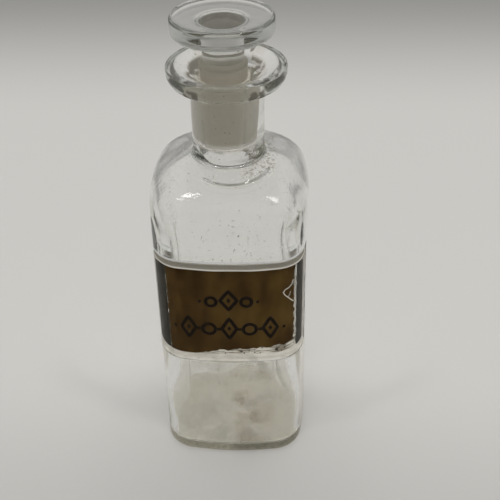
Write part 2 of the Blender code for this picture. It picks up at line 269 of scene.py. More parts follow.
class RoundedSquare:
    """Plan of the body: four crowned faces, joined by corner arcs that meet them smoothly."""

    def __init__(self, half, corner, face):
        offset, reach = face - half, face - corner
        self.half, self.corner, self.face = half, corner, face
        self.centre = (-offset + math.sqrt(2 * reach**2 - offset**2)) / 2
        self.face_turn = math.atan2(self.centre, self.centre + offset)
        self.face_length = face * self.face_turn
        self.corner_length = corner * (RIGHT_ANGLE - 2 * self.face_turn)
        self.quarter = 2 * self.face_length + self.corner_length

    def turn(self, length):
        """Turn of the wall's normal at a length followed from the front's middle: it grows by the
        length over the face radius along a face, and over the corner radius along a corner."""
        quarter = np.round(length / self.quarter)
        local = length - quarter * self.quarter
        on_face = np.minimum(np.abs(local), self.face_length)
        bent = on_face / self.face + (np.abs(local) - on_face) / self.corner
        return FRONT + quarter * RIGHT_ANGLE + np.sign(local) * bent

    def point(self, length, inset):
        """x and y of the wall, set in by inset: on the face's circle or on the corner's circle,
        whichever has its normal at the wall's turn."""
        turn = self.turn(length)
        quarter = np.round(turn / RIGHT_ANGLE) * RIGHT_ANGLE
        local = turn - quarter
        on_face = np.abs(local) <= self.face_turn
        radius = np.where(on_face, self.face - inset, self.corner - inset)
        x = np.where(on_face, self.half - self.face, self.centre) + radius * np.cos(local)
        y = np.where(on_face, 0, np.sign(local) * self.centre) + radius * np.sin(local)
        return (
            x * np.cos(quarter) - y * np.sin(quarter),
            x * np.sin(quarter) + y * np.cos(quarter),
        )

    def radius(self, angle, inset):
        """Distance from the axis to the plan, set in by inset, along a polar angle: where that ray
        meets the face's circle or the corner's circle."""
        folded = np.abs((angle + RIGHT_ANGLE / 2) % RIGHT_ANGLE - RIGHT_ANGLE / 2)
        small = self.corner - inset
        face_end = np.arctan2(
            self.centre + small * math.sin(self.face_turn),
            self.centre + small * math.cos(self.face_turn),
        )
        offset, large = self.face - self.half, self.face - inset
        on_face = np.sqrt(large**2 - (offset * np.sin(folded)) ** 2) - offset * np.cos(folded)
        along = self.centre * (np.cos(folded) + np.sin(folded))
        across = self.centre * (np.cos(folded) - np.sin(folded))
        on_corner = along + np.sqrt(np.maximum(small**2 - across**2, 0))
        return np.where(folded <= face_end, on_face, on_corner)


def body_plan():
    body = settings().body
    return RoundedSquare(bottle_high.x, body.corner_radius, body.face_radius)


def ripple(angle, height, seed, lengths, waves=14):
    """Smooth unevenness between -1 and 1: a sum of cosines whose phase grows with whole numbers of
    turns about the axis and with height over a random wavelength, over their number's root."""
    draw = np.random.default_rng(seed)
    total = np.zeros(np.broadcast(angle, height).shape)
    for _ in range(waves):
        around = draw.integers(1, 9)
        upward = 2 * math.pi / draw.uniform(*lengths)
        phase = draw.uniform(0, 2 * math.pi)
        total = total + np.cos(around * angle + upward * height + phase)
    return np.clip(total / (1.6 * math.sqrt(waves)), -1, 1)


def rings(angle, radius, height, shift=0.0):
    """Stacked rings: x is shift plus radius times cosine, y is radius times sine."""
    radius, height, shift, angle = np.broadcast_arrays(radius, height, shift, angle)
    return np.stack([shift + radius * np.cos(angle), radius * np.sin(angle), height], axis=-1)


def grid_faces(rows, columns, closed):
    """Quads between neighbouring rows and columns, the last column joined to the first if
    closed."""
    across = columns if closed else columns - 1
    row, left = np.meshgrid(np.arange(rows - 1), np.arange(across), indexing="ij")
    right = (left + 1) % columns
    low, high = row * columns, (row + 1) * columns
    return np.stack([low + left, low + right, high + right, high + left], -1).reshape(-1, 4)


def make_piece(name, points, faces, finish):
    """Object at the origin with its place in its mesh, smooth apart from its sharp edges."""
    mesh = bpy.data.meshes.new(name)
    mesh.from_pydata(np.reshape(points, (-1, 3)).tolist(), [], [f.tolist() for f in faces])
    mesh.shade_smooth()
    mesh.set_sharp_from_angle(angle=SHARP_ANGLE)
    mesh.materials.append(finish)
    piece = bpy.data.objects.new(name, mesh)
    bpy.context.scene.collection.objects.link(piece)
    return piece


def loft(name, first, grid, last, finish):
    """Closed skin over a stack of rings, with a point at each end."""
    rows, columns = grid.shape[:2]
    points = np.concatenate([grid.reshape(-1, 3), [first], [last]])
    left = np.arange(columns)
    right = (left + 1) % columns
    start, end = rows * columns, rows * columns + 1
    high = (rows - 1) * columns
    foot = np.stack([np.full(columns, start), right, left], -1)
    head = np.stack([np.full(columns, end), high + left, high + right], -1)
    faces = [*grid_faces(rows, columns, True), *foot, *head]
    return make_piece(name, points, faces, finish)


def slab(name, front, back, finish):
    """Closed sheet between a front grid and a back grid, with a rim that joins their borders."""
    rows, columns = front.shape[:2]
    count = rows * columns
    faces = grid_faces(rows, columns, False)
    index = np.arange(count).reshape(rows, columns)
    border = [index[0, :-1], index[:-1, -1], index[-1, :0:-1], index[:0:-1, 0]]
    edge = np.concatenate(border)
    after = np.roll(edge, -1)
    rim = np.stack([after, edge, edge + count, after + count], -1)
    points = np.concatenate([front.reshape(-1, 3), back.reshape(-1, 3)])
    return make_piece(name, points, [*faces, *(faces[:, ::-1] + count), *rim], finish)


def on_wall(plan, length, height, inset):
    """Points at lengths along the wall, heights, and depths below the body's surface."""
    length, height, inset = np.broadcast_arrays(length, height, inset)
    x, y = plan.point(length, inset)
    return np.stack([x, y, height], axis=-1)


def wall_sheet(name, plan, length, height, front_inset, back_inset, finish):
    """Closed sheet on the wall, between two depths below the body's surface."""
    front = on_wall(plan, length, height, front_inset)
    back = on_wall(plan, length, height, back_inset)
    return slab(name, front, back, finish)


def add_attribute(piece, name, values):
    attribute = piece.data.attributes.new(name, "FLOAT", "POINT")
    attribute.data.foreach_set("value", np.asarray(values, np.float32).ravel())


# ---------------------------------------------------------------- materials


class Value:
    """What a socket gives out. Arithmetic on a number that varies adds Math nodes to its tree."""

    def __init__(self, nodes, socket):
        self.nodes, self.socket = nodes, socket

    def math(self, operation, first, second, **extra):
        return self.nodes.node("Math", {"operation": operation, **extra}, {0: first, 1: second})

    def __add__(self, other):
        return self.math("ADD", self, other)

    def __radd__(self, other):
        return self.math("ADD", other, self)

    def __sub__(self, other):
        return self.math("SUBTRACT", self, other)

    def __rsub__(self, other):
        return self.math("SUBTRACT", other, self)

    def __mul__(self, other):
        return self.math("MULTIPLY", self, other)

    def __rmul__(self, other):
        return self.math("MULTIPLY", other, self)

    def __abs__(self):
        return self.math("ABSOLUTE", self, 0.0)

    def held(self):
        """The same number, held between 0 and 1."""
        return self.math("ADD", self, 0.0, use_clamp=True)


class Nodes:
    """One node tree. A colour or number is set on a socket, and a Value is linked to it."""

    def __init__(self, tree):
        self.tree = tree

    def feed(self, socket, value):
        if isinstance(value, Value):
            self.tree.links.new(value.socket, socket)
        elif socket.type == "RGBA":
            socket.default_value = (*value, 1.0)
        else:
            socket.default_value = value

    def node(self, kind, options=None, sockets=None, output=0):
        made = self.tree.nodes.new("ShaderNode" + kind)
        for key, value in (options or {}).items():
            setattr(made, key, value)
        for key, value in (sockets or {}).items():
            self.feed(made.inputs[key], value)
        return Value(self, made.outputs[output])

    def between(self, value, low, high):
        """0 below low, 1 above high, and a smooth step in between."""
        sockets = {"Value": value, "From Min": low, "From Max": high}
        return self.node("MapRange", {"interpolation_type": "SMOOTHSTEP"}, sockets)

    def band(self, value, start, full, fading, end):
        """0 outside start and end, 1 from full to fading, and smooth steps in between."""
        return self.between(value, start, full) * (1 - self.between(value, fading, end))

    def mixed(self, factor, first, second):
        sockets = {0: factor, 6: first, 7: second}
        return self.node("Mix", {"data_type": "RGBA"}, sockets, output=2)


class Finish(Nodes):
    """One material's nodes, with its shader's constant values set on the shader's own sockets."""

    def __init__(self, name, **constants):
        self.material = bpy.data.materials.new(name)
        self.material.use_nodes = True
        super().__init__(self.material.node_tree)
        self.shader = self.tree.nodes["Principled BSDF"]
        self.output = self.tree.nodes["Material Output"]
        for key, value in constants.items():
            self.set(key.replace("_", " "), value)

    def set(self, key, value):
        self.feed(self.shader.inputs[key], value)

    def place(self):
        """Object coordinates."""
        return self.node("TexCoord", output=3)

    def axis(self, index):
        return self.node("SeparateXYZ", sockets={0: self.place()}, output=index)

    def stretched(self, scale):
        return self.node("Mapping", sockets={"Vector": self.place(), "Scale": scale})

    def noise(self, scale, detail=2.0, vector=None):
        sockets = {"Vector": vector or self.place(), "Scale": scale, "Detail": detail}
        return self.node("TexNoise", sockets=sockets)

    def attribute(self, name):
        return self.node("Attribute", {"attribute_name": name}, output=2)

    def bump(self, height, distance):
        self.set("Normal", self.node("Bump", sockets={"Height": height, "Distance": distance}))

    def made(self, shade, roughness, relief, distance):
        """The material, once its colour, roughness and relief are fed."""
        self.set("Base Color", shade)
        self.set("Roughness", roughness)
        self.bump(relief, distance)
        return self.material

    def mix_with(self, factor, **constants):
        """Mixes a second shader into the surface by a factor."""
        sockets = {key.replace("_", " "): value for key, value in constants.items()}
        second = self.node("BsdfPrincipled", sockets=sockets)
        first = Value(self, self.shader.outputs[0])
        mix = self.node("MixShader", sockets={0: factor, 1: first, 2: second})
        self.feed(self.output.inputs["Surface"], mix)

    def absorb(self, shade, density):
        volume = self.node("VolumeAbsorption", sockets={"Color": shade, "Density": density})
        self.feed(self.output.inputs["Volume"], volume)


def clear_glass(name, depth, strength=1.0):
    """Old clear glass whose depth has a slight colour, some strength times as dense."""
    finish = Finish(name, IOR=GLASS_IOR, Transmission_Weight=1.0)
    finish.absorb(depth, strength * settings().glass.density)
    return finish


# Places of the marks, in metres, each as start, full, fading and end.
DISH_HEIGHTS = (0.1630, 0.1645, 0.1672, 0.1686)
DISH_SIDES = (0.0080, 0.0092, 0.0135, 0.0150)
FOOT_HEIGHTS = (0.1325, 0.1340, 0.1400, 0.1425)
FOOT_SIDES = (0.0045, 0.0080, 0.0165, 0.0195)
PEBBLE_HEIGHTS = (0.118, 0.122, 0.127, 0.133)
FOLD_SIDES = (-0.012, -0.004, 0.013, 0.019)
FOLD_HEIGHT, FOLD_SLOPE, FOLD_CURVE = 0.1322, -0.04, 7.5
FOLD_HALF_WIDTH = 0.0008


def ground_share(finish):
    """How much of the surface is ground: the marked area, slightly cloudy."""
    ground = finish.attribute("ground")
    return ground * (0.82 + 0.18 * finish.noise(500, 3))


def ground_roughness(finish, ground):
    """Roughness that ground glass adds, with its grit."""
    return ground * (settings().glass.ground_roughness - 0.08 + 0.16 * finish.noise(2200, 2))


def worn_and_shaded_marks(finish):
    """Share and colour of what dulls the bottle: the ground bore, dirt beside the neck's foot, dirt
    and painted shade in the dish on both sides of the plug, and a worn standing ring whose olive
    band is also painted shade along the base's lowest edge."""
    glass = settings().glass
    height, aside = finish.axis(2), finish.axis(0)
    ground = ground_share(finish)
    flecks = finish.between(finish.noise(420, 4), 0.47, 0.60)
    # in the dish on both sides of the plug: dirt and painted shade
    dish = finish.band(height, *DISH_HEIGHTS) * finish.band(abs(aside), *DISH_SIDES)
    foot = finish.band(height, *FOOT_HEIGHTS) * finish.band(aside, *FOOT_SIDES)
    crumbs = finish.between(finish.noise(900, 3), 0.52, 0.58)
    specks = finish.between(finish.noise(1100, 1), 0.735, 0.765)
    clots = 0.25 + 0.75 * finish.between(finish.noise(260, 3), 0.42, 0.54)
    grime_and_shade = (0.85 * (dish * clots) + 0.6 * (foot * crumbs) + 0.6 * specks).held()
    # olive band round the lowest edge of the base: worn ring and painted shade
    worn = 1 - finish.between(height, 0.0006, 0.0022)
    worn = 0.75 * worn * (1 - 0.4 * flecks)
    right = finish.between(aside, -0.004, 0.010)
    stain = ground * finish.between(finish.noise(130, 3), 0.47, 0.66) * right
    body = finish.mixed(0.45 * stain, glass.ground_body, glass.stain)
    body = finish.mixed(grime_and_shade, body, glass.grime_and_shade)
    body = finish.mixed(worn, body, glass.wear_and_base_shade)
    end = settings().stopper.bore_bottom
    above_end = 0.25 + 0.75 * finish.between(height, end + 0.0003, end + 0.0020)
    share_of_all = (glass.ground_cover * (ground * above_end) + grime_and_shade + worn).held()
    return share_of_all, body


def bottle_finish():
    """Clear glass, ground in the bore, with dirt, a worn standing ring and painted shade in the
    dish
    and along the base, seeds, fine scratches, a pebbled band on the shoulder and a fold at its top:
    a line whose height is a parabola of the place across."""
    glass = settings().glass
    finish = clear_glass("blown glass", glass.depth)
    ground = finish.attribute("ground")
    inside = finish.attribute("inside")
    height, aside = finish.axis(2), finish.axis(0)
    low = 1 - finish.between(height, 0.030, 0.056)
    finish.set("Base Color", finish.mixed(ground, glass.tint, glass.ground))
    rough = ground_roughness(finish, ground)
    finish.set("Roughness", 0.004 + rough + glass.haze * (inside * low))
    waves = finish.noise(260, 2)
    seeds = finish.between(finish.noise(900, 0), 0.74, 0.80)
    scratches = finish.between(finish.noise(60, 6, finish.stretched((6, 6, 60))), 0.62, 0.70)
    outside = 1 - inside
    front = 1 - finish.between(finish.axis(1), -0.008, -0.002)
    on_shoulder = finish.band(height, *PEBBLE_HEIGHTS) * outside
    pebbles = finish.noise(1100, 2, finish.stretched((1, 1, 0.6))) * on_shoulder
    rise = height - FOLD_HEIGHT - FOLD_SLOPE * aside - FOLD_CURVE * aside * aside
    fold = finish.band(rise, -FOLD_HALF_WIDTH, 0.0, 0.0, FOLD_HALF_WIDTH)
    fold = fold * finish.band(aside, *FOLD_SIDES) * front * outside
    relief = 0.6 * waves + 0.5 * seeds + 0.12 * scratches + 3.6 * pebbles - 30.0 * fold
    finish.bump(relief, 0.00003)
    factor, body = worn_and_shaded_marks(finish)
    finish.mix_with(factor, Base_Color=body, Roughness=0.9)
    return finish.material


def stopper_finish():
    """Clear pressed glass with a ground plug, whose cone scatters less than its taper."""
    glass = settings().glass
    finish = clear_glass("stopper glass", glass.stopper_depth, 5.0)
    ground = finish.attribute("ground")
    finish.set("Base Color", finish.mixed(ground, glass.tint, glass.ground))
    finish.set("Roughness", 0.004 + ground_roughness(finish, ground))
    waves = finish.noise(300, 2)
    scratches = finish.between(finish.noise(90, 6, finish.stretched((9, 60, 9))), 0.60, 0.72)
    finish.bump(0.6 * waves + 0.15 * scratches, 0.00003)
    below_cone = 1 - 0.8 * finish.between(finish.axis(2), 0.1688, 0.1702)
    cover = glass.ground_cover * below_cone * ground_share(finish)
    finish.mix_with(cover, Base_Color=glass.ground_body, Roughness=0.9)
    return finish.material


def residue_finish():
    """Film of dried residue: a thin beige veil, thicker in brown patches at the right and low down,
    gone where it ends part way up the walls."""
    glass = settings().glass
    finish = Finish("dried residue", Roughness=0.9, Specular_IOR_Level=0.1)
    height = finish.axis(2)
    right = finish.between(finish.axis(0), -0.004, 0.004)
    right = right * (1 - 0.6 * finish.between(finish.axis(0), 0.012, 0.020))
    veil = 1 - finish.between(height + 0.008 * finish.noise(70, 3), 0.030, 0.068)
    patches = finish.between(finish.noise(95, 5), 0.45, 0.66)
    specks = finish.between(finish.noise(800, 4), 0.56, 0.68)
    brown = (patches * (0.25 + 0.75 * right) * (0.5 + 0.5 * specks)).held()
    finish.set("Base Color", finish.mixed(brown, glass.residue, glass.residue_dark))
    cloud = 0.04 + 0.24 * finish.between(finish.noise(55, 5), 0.36, 0.66)
    finish.set("Alpha", (veil * (cloud + 0.42 * brown)).held())
    return finish.material


def cover_finish():
    """Thin bent cover glass, dulled by age: its low index stands for its weak reflections."""
    glass = settings().glass
    finish = Finish("cover glass", IOR=glass.cover_index, Transmission_Weight=1.0)
    finish.absorb(glass.depth, glass.density)
    finish.set("Specular IOR Level", 0.12)
    dust = finish.between(finish.noise(700, 5), 0.52, 0.72)
    return finish.made(glass.tint, 0.01 + 0.02 * dust, finish.noise(180, 2), 0.00001)


def paint_finish():
    """Aged brown paint: cloudy and streaked, with fine pale specks."""
    looks = settings().panel_looks
    finish = Finish("aged label paint", Specular_IOR_Level=0.05)
    clouds = finish.noise(45, 3)
    streaks = finish.noise(30, 5, finish.stretched((8, 8, 2)))
    light = finish.between(0.6 * clouds + 0.4 * streaks, 0.36, 0.68)
    specks = finish.between(finish.noise(1500, 2), 0.70, 0.78)
    shade = finish.mixed(light, looks.paint, looks.paint_light)
    shade = finish.mixed(0.25 * specks, shade, looks.chip)
    rough = 0.55 + 0.25 * finish.noise(400, 3)
    return finish.made(shade, rough, finish.noise(600, 4), 0.00001)


def ink_finish():
    """Near-black painted ornament, thin and worn."""
    looks = settings().panel_looks
    finish = Finish("ornament ink", Specular_IOR_Level=0.05)
    worn = finish.between(finish.noise(800, 4), 0.55, 0.80)
    shade = finish.mixed(0.5 * worn, looks.ink, looks.paint)
    rough = 0.40 + 0.2 * finish.noise(500, 2)
    return finish.made(shade, rough, finish.noise(900, 3), 0.00002)


def chip_finish():
    """Bare pale ground that shows where the paint has chipped."""
    looks = settings().panel_looks
    finish = Finish("chipped edge")
    grain = finish.noise(1200, 4)
    shade = finish.mixed(grain, looks.chip, looks.cement)
    return finish.made(shade, 0.6 + 0.3 * grain, grain, 0.00004)


def olive_finish():
    """Dark olive along the sides of the panel: stain, and painted shade where they lie behind
    the thick glass of the corners.
    """
    looks = settings().panel_looks
    finish = Finish("side stain and shade", Specular_IOR_Level=0.1)
    streaks = finish.between(finish.noise(60, 4, finish.stretched((10, 10, 1.5))), 0.35, 0.7)
    shade = finish.mixed(0.10 * streaks, looks.olive, looks.cement_top)
    rough = 0.35 + 0.3 * finish.noise(500, 3)
    return finish.made(shade, rough, finish.noise(700, 3), 0.00003)


def glue_finish():
    """Dried glue: grey and streaked, with dark dots and a few bare pale lines."""
    looks = settings().panel_looks
    finish = Finish("dried glue", Specular_IOR_Level=0.1)
    streaks = finish.between(finish.noise(160, 5, finish.stretched((1, 1, 6))), 0.42, 0.62)
    dots = finish.between(finish.noise(620, 1), 0.64, 0.69)
    shade = finish.mixed(streaks, looks.glue, looks.cement)
    shade = finish.mixed(0.85 * dots, shade, looks.ink)
    return finish.made(shade, 0.5 + 0.3 * streaks, streaks, 0.00002)


def cement_finish(middle, cover_top):
    """Lime cement: pale under the cover glass and darkened above it, blotched, with a pale line
    just above the cover's top painted on as a highlight.
    """
    looks = settings().panel_looks
    finish = Finish("lime cement")
    grain = finish.noise(1500, 5)
    blotches = finish.between(finish.noise(220, 3), 0.40, 0.66)
    upper = finish.between(finish.axis(2), middle - 0.004, middle + 0.004)
    pale = finish.mixed(0.25 * blotches, looks.cement, looks.cement_top)
    dark = finish.mixed(0.25 * grain, looks.cement_top, looks.cement)
    # painted highlight: a pale line just above the cover glass's top edge, where that edge catches
    # the light
    painted_highlight = 1 - finish.between(finish.axis(2), cover_top + 0.0003, cover_top + 0.0008)
    dark = finish.mixed(0.8 * painted_highlight, dark, looks.cement)
    shade = finish.mixed(upper, pale, dark)
    return finish.made(shade, 0.55 + 0.35 * grain, grain + 0.5 * blotches, 0.00012)


FAR_FLOOR = (0.28, 0.56)  # y from where the floor dims to where it is darkest
NEAR_FLOOR = (-0.080, 0.020)  # y up to which the shaded near floor lasts, and where it ends


def floor_finish():
    """Plain pale floor, softly shaded in front and dim far behind the bottle."""
    studio = settings().studio
    finish = Finish("pale floor")
    far = finish.between(finish.axis(1), *FAR_FLOOR)
    dim = tuple(0.46 * channel for channel in studio.floor)
    cloud = finish.noise(1.5, 2)
    near = 1 - finish.between(finish.axis(1), *NEAR_FLOOR)
    shaded = tuple(0.84 * channel for channel in studio.floor)
    shade = finish.mixed(near, studio.floor, shaded)
    shade = finish.mixed(far, shade, dim)
    shade = finish.mixed(0.04 * cloud, shade, (0.5, 0.5, 0.5))
    return finish.made(shade, 0.70 + 0.1 * cloud, finish.noise(1800, 2), 0.00001)


# ---------------------------------------------------------------- the bottle


def wall_lengths(plan, body, recess_half):
    """Lengths along the wall, once round from the front's middle: even steps across each face and
    finer ones round each corner, with extra columns at the recess's two ends."""
    face = np.linspace(-plan.face_length, plan.face_length, body.columns_on_face, endpoint=False)
    corner_end = plan.face_length + plan.corner_length
    corner = np.linspace(plan.face_length, corner_end, body.columns_on_corner, endpoint=False)
    one = np.concatenate([face, corner])
    around = np.concatenate([one + quarter * plan.quarter for quarter in range(4)])
    edge = body.recess_edge * np.array([-0.5, 0.0, 0.5])
    around = np.concatenate([around, recess_half + edge, 4 * plan.quarter - recess_half + edge])
    return np.sort(around % (4 * plan.quarter))


def from_front(length, plan):
    """Signed length from the front's middle, the short way round."""
    return (length + 2 * plan.quarter) % (4 * plan.quarter) - 2 * plan.quarter


def body_grid(plan, body, panel):
    """Polar angles and signed lengths from the front of the bottle's columns, and its recess: half
    its width, its lowest and its highest point."""
    recess = (panel.recess_width / 2, cement_low.z - panel.gap, cement_high.z + panel.gap)
    lengths = wall_lengths(plan, body, recess[0])
    x, y = plan.point(lengths, 0.0)
    return np.arctan2(y, x), from_front(lengths, plan), recess


def arc(count, first=0.0, last=RIGHT_ANGLE, skip_first=False):
    """Column of even turns, from the first to the last."""
    turns = np.linspace(first, last, count)
    return column(turns[1:] if skip_first else turns)


def underside(angle, plan, body):
    """Push-up as a parabola of revolution, the flat standing ring and the rounded edge."""
    step = column(np.linspace(0.06, 1, 12))
    hollow = rings(angle, body.push_up_radius * step, body.push_up_height * (1 - step**2))
    outer = plan.radius(angle, body.base_edge)
    step = column(np.linspace(0, 1, 6)[1:])
    ring = rings(angle, body.push_up_radius * (1 - step) + outer * step, 0.0)
    turns = arc(9, skip_first=True)
    edge_inset = body.base_edge * (1 - np.sin(turns))
    edge = rings(angle, plan.radius(angle, edge_inset), body.base_edge * (1 - np.cos(turns)))
    return np.concatenate([hollow, ring, edge])


def recess_share(along, height, body, recess):
    """1 inside the recess and 0 outside, with a smooth step as wide as its edge all round."""
    half, low, high = recess
    across = fade((half - np.abs(along)) / body.recess_edge + 0.5)
    below = fade((height - low) / body.recess_edge + 0.5)
    above = fade((high - height) / body.recess_edge + 0.5)
    return across * below * above


def outer_dent(angle, height, body):
    """Depth of the waviness outside: half the ripple's depth, and half times the ripple."""
    return body.outer_ripple * (0.5 + 0.5 * ripple(angle, height, 11, (0.03, 0.12)))


def outer_wall(angle, along, plan, body, recess):
    """Crowned walls, dented inwards by the ripple, with the recess let into the front."""
    _, low, high = recess
    edge = body.recess_edge * np.array([-0.5, -0.25, 0.0, 0.25, 0.5])
    start, end = body.base_edge, body.shoulder_start
    even = np.linspace(start, end, 84)[1:]
    clear = (np.abs(even - low) > body.recess_edge) & (np.abs(even - high) > body.recess_edge)
    height = column(np.sort(np.concatenate([even[clear], low + edge, high + edge])))
    settled = fade((height - start) / 0.012)
    depth = body.recess_depth * recess_share(along, height, body, recess)
    dent = outer_dent(angle, height, body)
    return rings(angle, plan.radius(angle, 0.0) - dent * settled - depth, height)


def shoulder(angle, plan, inset, start, top, end_radius, turns):
    """Quarter ellipse from the wall to the neck. The plan turns from the rounded square to a circle
    by the square of the rise, which is the sine of the turn."""
    rise = np.sin(turns)
    half = end_radius + (plan.half - inset - end_radius) * np.cos(turns)
    square = plan.radius(angle, inset) / (plan.half - inset)
    radius = half * (square + (1 - square) * rise**2)
    return radius, start + (top - start) * rise


def neck_and_lip(angle, body, lip_top):
    """Fillet, neck, the lip's underside as a quarter ellipse, its rounded edge and flat ring."""
    turns = arc(8, skip_first=True)
    radius = body.neck_radius + body.neck_fillet * (1 - np.sin(turns))
    height = body.shoulder_top + body.neck_fillet * (1 - np.cos(turns))
    parts = [rings(angle, radius, height)]
    underside_top = lip_top - body.lip_edge
    neck_top = underside_top - body.lip_undercut
    height = column(np.linspace(body.shoulder_top + body.neck_fillet, neck_top, 12)[1:-1])
    parts.append(rings(angle, body.neck_radius, height))
    turns = arc(17)
    flare = body.lip_radius - body.neck_radius
    radius = body.neck_radius + flare * np.sin(turns)
    parts.append(rings(angle, radius, underside_top - body.lip_undercut * np.cos(turns)))
    turns = arc(7)
    radius = body.lip_radius - body.lip_round * (1 - np.cos(turns))
    parts.append(rings(angle, radius, lip_top - body.lip_round * (1 - np.sin(turns))))
    return np.concatenate(parts)


def plug_radius(height, stopper):
    """Radius of the ground taper: its radius at the top less the taper times the depth below it."""
    return stopper.plug_radius - stopper.taper * (stopper.plug_top - height)


def bore_radius(height, stopper):
    return plug_radius(height, stopper) + stopper.fit


def dish_and_bore(angle, body, stopper, lip_top, shift):
    """Dish as a sine squared from the ring's inner edge to the bore, the ground taper, a step out
    to the clear neck and the rounded edge into the cavity."""
    ring = body.lip_radius - body.lip_ring
    mouth = bore_radius(lip_top - body.dish, stopper)
    step = column(np.linspace(0, 1, 18))
    radius = ring + (mouth - ring) * step
    depth = body.dish * np.sin(RIGHT_ANGLE * step) ** 2
    parts = [rings(angle, radius, lip_top - depth, shift * step)]
    height = column(np.linspace(lip_top - body.dish, stopper.bore_bottom, 22)[1:])
    parts.append(rings(angle, bore_radius(height, stopper), height, shift))
    top = body.shoulder_top - body.shoulder_wall + body.neck_fillet
    height = column(np.linspace(stopper.bore_bottom - 0.0003, top, 6))
    clear = shift * fade((height - top) / 0.004)
    wave = 0.0003 * ripple(angle, height, 17, (0.004, 0.012)) * fade((height - top) / 0.002)
    parts.append(rings(angle, body.clear_neck + wave, height, clear))
    turns = arc(6, skip_first=True)
    radius = body.clear_neck + body.neck_fillet * (1 - np.cos(turns))
    parts.append(rings(angle, radius, top - body.neck_fillet * np.sin(turns)))
    return np.concatenate(parts)


def bulge(along, height, body, recess):
    """Depth by which the cavity's wall stands in behind the recess: all of the recess's depth
    there, fading smoothly past its ends and over the heights set above and below it."""
    half, low, high = recess
    across = 1 - fade((np.abs(along) - half) / 0.010)
    below = fade((height - low) / body.bulge_below + 1)
    above = fade((high - height) / body.bulge_above + 1)
    return body.recess_depth * across * below * above


CALM_FOOT = 0.35  # share of the inner waviness that is left at the cavity's floor


def corner_glass(angle, height, body):
    """Extra glass that gathers in the body's corners, most of it a third of the way up."""
    corner = np.sin(2 * angle) ** 4
    rise = fade((height - body.corner_low) / 0.030)
    fall = 1 - fade((height - body.corner_high) / 0.035)
    return body.corner_extra * corner * rise * fall


def inner_wave(angle, height, body):
    """Waviness of the inside: the ripple times its depth."""
    return body.inner_ripple * ripple(angle, height, 23, (0.025, 0.09))


def cavity_shoulder(angle, along, plan, body, recess):
    """Inside of the shoulder, from the neck down to the walls."""
    top = body.shoulder_top - body.shoulder_wall
    start = body.shoulder_start - body.wall / 2
    mouth = body.clear_neck + body.neck_fillet
    turns = arc(34, RIGHT_ANGLE, 0.0, skip_first=True)
    radius, height = shoulder(angle, plan, body.wall, start, top, mouth, turns)
    wave = inner_wave(angle, height, body) - bulge(along, height, body, recess)
    return rings(angle, radius + wave * np.cos(turns), height)


def cavity_walls(angle, along, plan, body, recess, top, inset=0.0):
    """Inside of the walls, the rounded edge and the floor, from a height down. The ripple makes
    their thickness uneven, and the inset lifts a film off them."""
    floor = body.push_up_height + body.floor
    height = column(np.linspace(top, floor + body.cavity_edge, 82)[1:])
    settled = fade((height - floor - body.cavity_edge) / 0.010)
    wave = inner_wave(angle, height, body) * (CALM_FOOT + (1 - CALM_FOOT) * settled)
    wave = wave - bulge(along, height, body, recess) - corner_glass(angle, height, body)
    parts = [rings(angle, plan.radius(angle, body.wall) + wave - inset, height)]
    turns = arc(11, skip_first=True)
    depth = body.wall + body.cavity_edge * (1 - np.cos(turns))
    height = floor + body.cavity_edge * (1 - np.sin(turns))
    wave = CALM_FOOT * inner_wave(angle, floor + body.cavity_edge, body)
    radius = plan.radius(angle, depth) + (wave - inset) * np.cos(turns)
    parts.append(rings(angle, radius, height + inset * np.sin(turns)))
    step = column(np.linspace(1, 0, 9)[1:-1])
    edge = plan.radius(angle, body.wall + body.cavity_edge)
    parts.append(rings(angle, edge * step, floor + inset))
    return np.concatenate(parts)


GROUND_EDGE = 0.0006  # height over which a ground surface turns clear
FILM_LIFT, FILM_THICKNESS = 0.0001, 0.00005  # of the residue, off the cavity's wall


class BlowBottle(bpy.types.Operator):
    """Blows the bottle: one closed skin over the outside, the lip, the bore and the cavity."""

    bl_idname = "pharmacy.blow_bottle"
    bl_label = "Blow the bottle"

    def execute(self, context):
        body, stopper, panel = settings().body, settings().stopper, settings().panel
        plan = body_plan()
        angle, along, recess = body_grid(plan, body, panel)
        lip_top = bottle_high.z
        shift = (stopper_low.x + stopper_high.x) / 2
        bottom = underside(angle, plan, body)
        walls = outer_wall(angle, along, plan, body, recess)
        turns = arc(38, skip_first=True)
        foot = body.neck_radius + body.neck_fillet
        radius, height = shoulder(
            angle, plan, 0.0, body.shoulder_start, body.shoulder_top, foot, turns
        )
        top = rings(angle, radius - outer_dent(angle, height, body) * np.cos(turns), height)
        lip = neck_and_lip(angle, body, lip_top)
        bore = dish_and_bore(angle, body, stopper, lip_top, shift)
        start = body.shoulder_start - body.wall / 2
        hollow = np.concatenate([
            cavity_shoulder(angle, along, plan, body, recess),
            cavity_walls(angle, along, plan, body, recess, start),
        ])
        grid = np.concatenate([bottom, walls, top, lip, bore, hollow])
        first = (0.0, 0.0, body.push_up_height)
        last = (0.0, 0.0, body.push_up_height + body.floor)
        bottle = loft("blown_bottle", first, grid, last, bottle_finish())
        outside = len(bottom) + len(walls) + len(top) + len(lip)
        rows = np.arange(len(grid))
        z = grid[:, 0, 2]
        inside = (rows >= outside + len(bore)).astype(float)
        in_bore = (rows >= outside) & (rows < outside + len(bore))
        mouth = lip_top - body.dish
        ground = in_bore * fade((mouth + 0.0004 - z) / GROUND_EDGE)
        ground = ground * fade((z - stopper.bore_bottom) / GROUND_EDGE + 1)
        columns = grid.shape[1]
        add_attribute(bottle, "inside", np.append(np.repeat(inside, columns), [0, 1]))
        add_attribute(bottle, "ground", np.append(np.repeat(ground, columns), [0, 0]))
        bottle.visible_shadow = False
        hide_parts("bottle")
        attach(bottle, "bottle_body")
        return {"FINISHED"}


